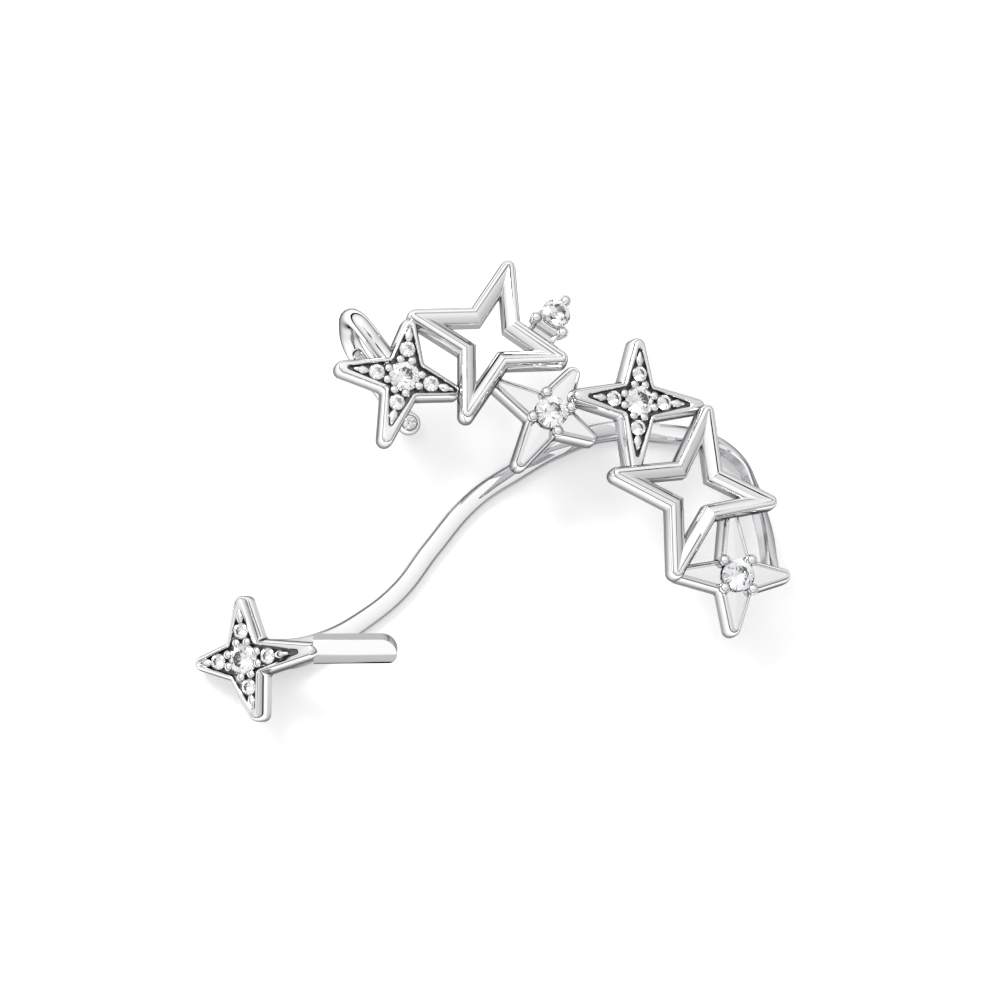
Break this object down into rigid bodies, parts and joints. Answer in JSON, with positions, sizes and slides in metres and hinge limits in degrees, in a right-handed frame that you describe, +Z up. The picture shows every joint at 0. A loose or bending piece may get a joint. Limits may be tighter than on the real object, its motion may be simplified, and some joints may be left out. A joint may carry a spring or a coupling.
{
  "type": "ear cuff",
  "caption": "Ear cuff of linked four-pointed stars along the ear's rim, with a hook over its top, a band behind it and a clip at its lobe, set with clear stones.",
  "frame": {"origin": "middle of the part's plan box, on the plane it rests on", "axes": "+X to the right along the cuff's length, +Y towards the top of the ear, +Z up, the way the stars face"},
  "size_m": [0.0434, 0.0342, 0.0089],
  "materials": {
    "silver": "polished sterling silver",
    "clear_stone": "polished, cut facets"
  },
  "bodies": {
    "root": {"silver_frame": "silver", "stone_crest": "clear_stone", "stone_paveFoot_bottom": "clear_stone", "stone_paveFoot_centre": "clear_stone", "stone_paveFoot_left": "clear_stone", "stone_paveFoot_right": "clear_stone", "stone_paveFoot_top": "clear_stone", "stone_paveMiddle_bottom": "clear_stone", "stone_paveMiddle_centre": "clear_stone", "stone_paveMiddle_left": "clear_stone", "stone_paveMiddle_right": "clear_stone", "stone_paveMiddle_top": "clear_stone", "stone_paveUpper_bottom": "clear_stone", "stone_paveUpper_centre": "clear_stone", "stone_paveUpper_left": "clear_stone", "stone_paveUpper_right": "clear_stone", "stone_paveUpper_top": "clear_stone", "stone_solidLower": "clear_stone", "stone_solidUpper": "clear_stone"}
  },
  "joints": []
}
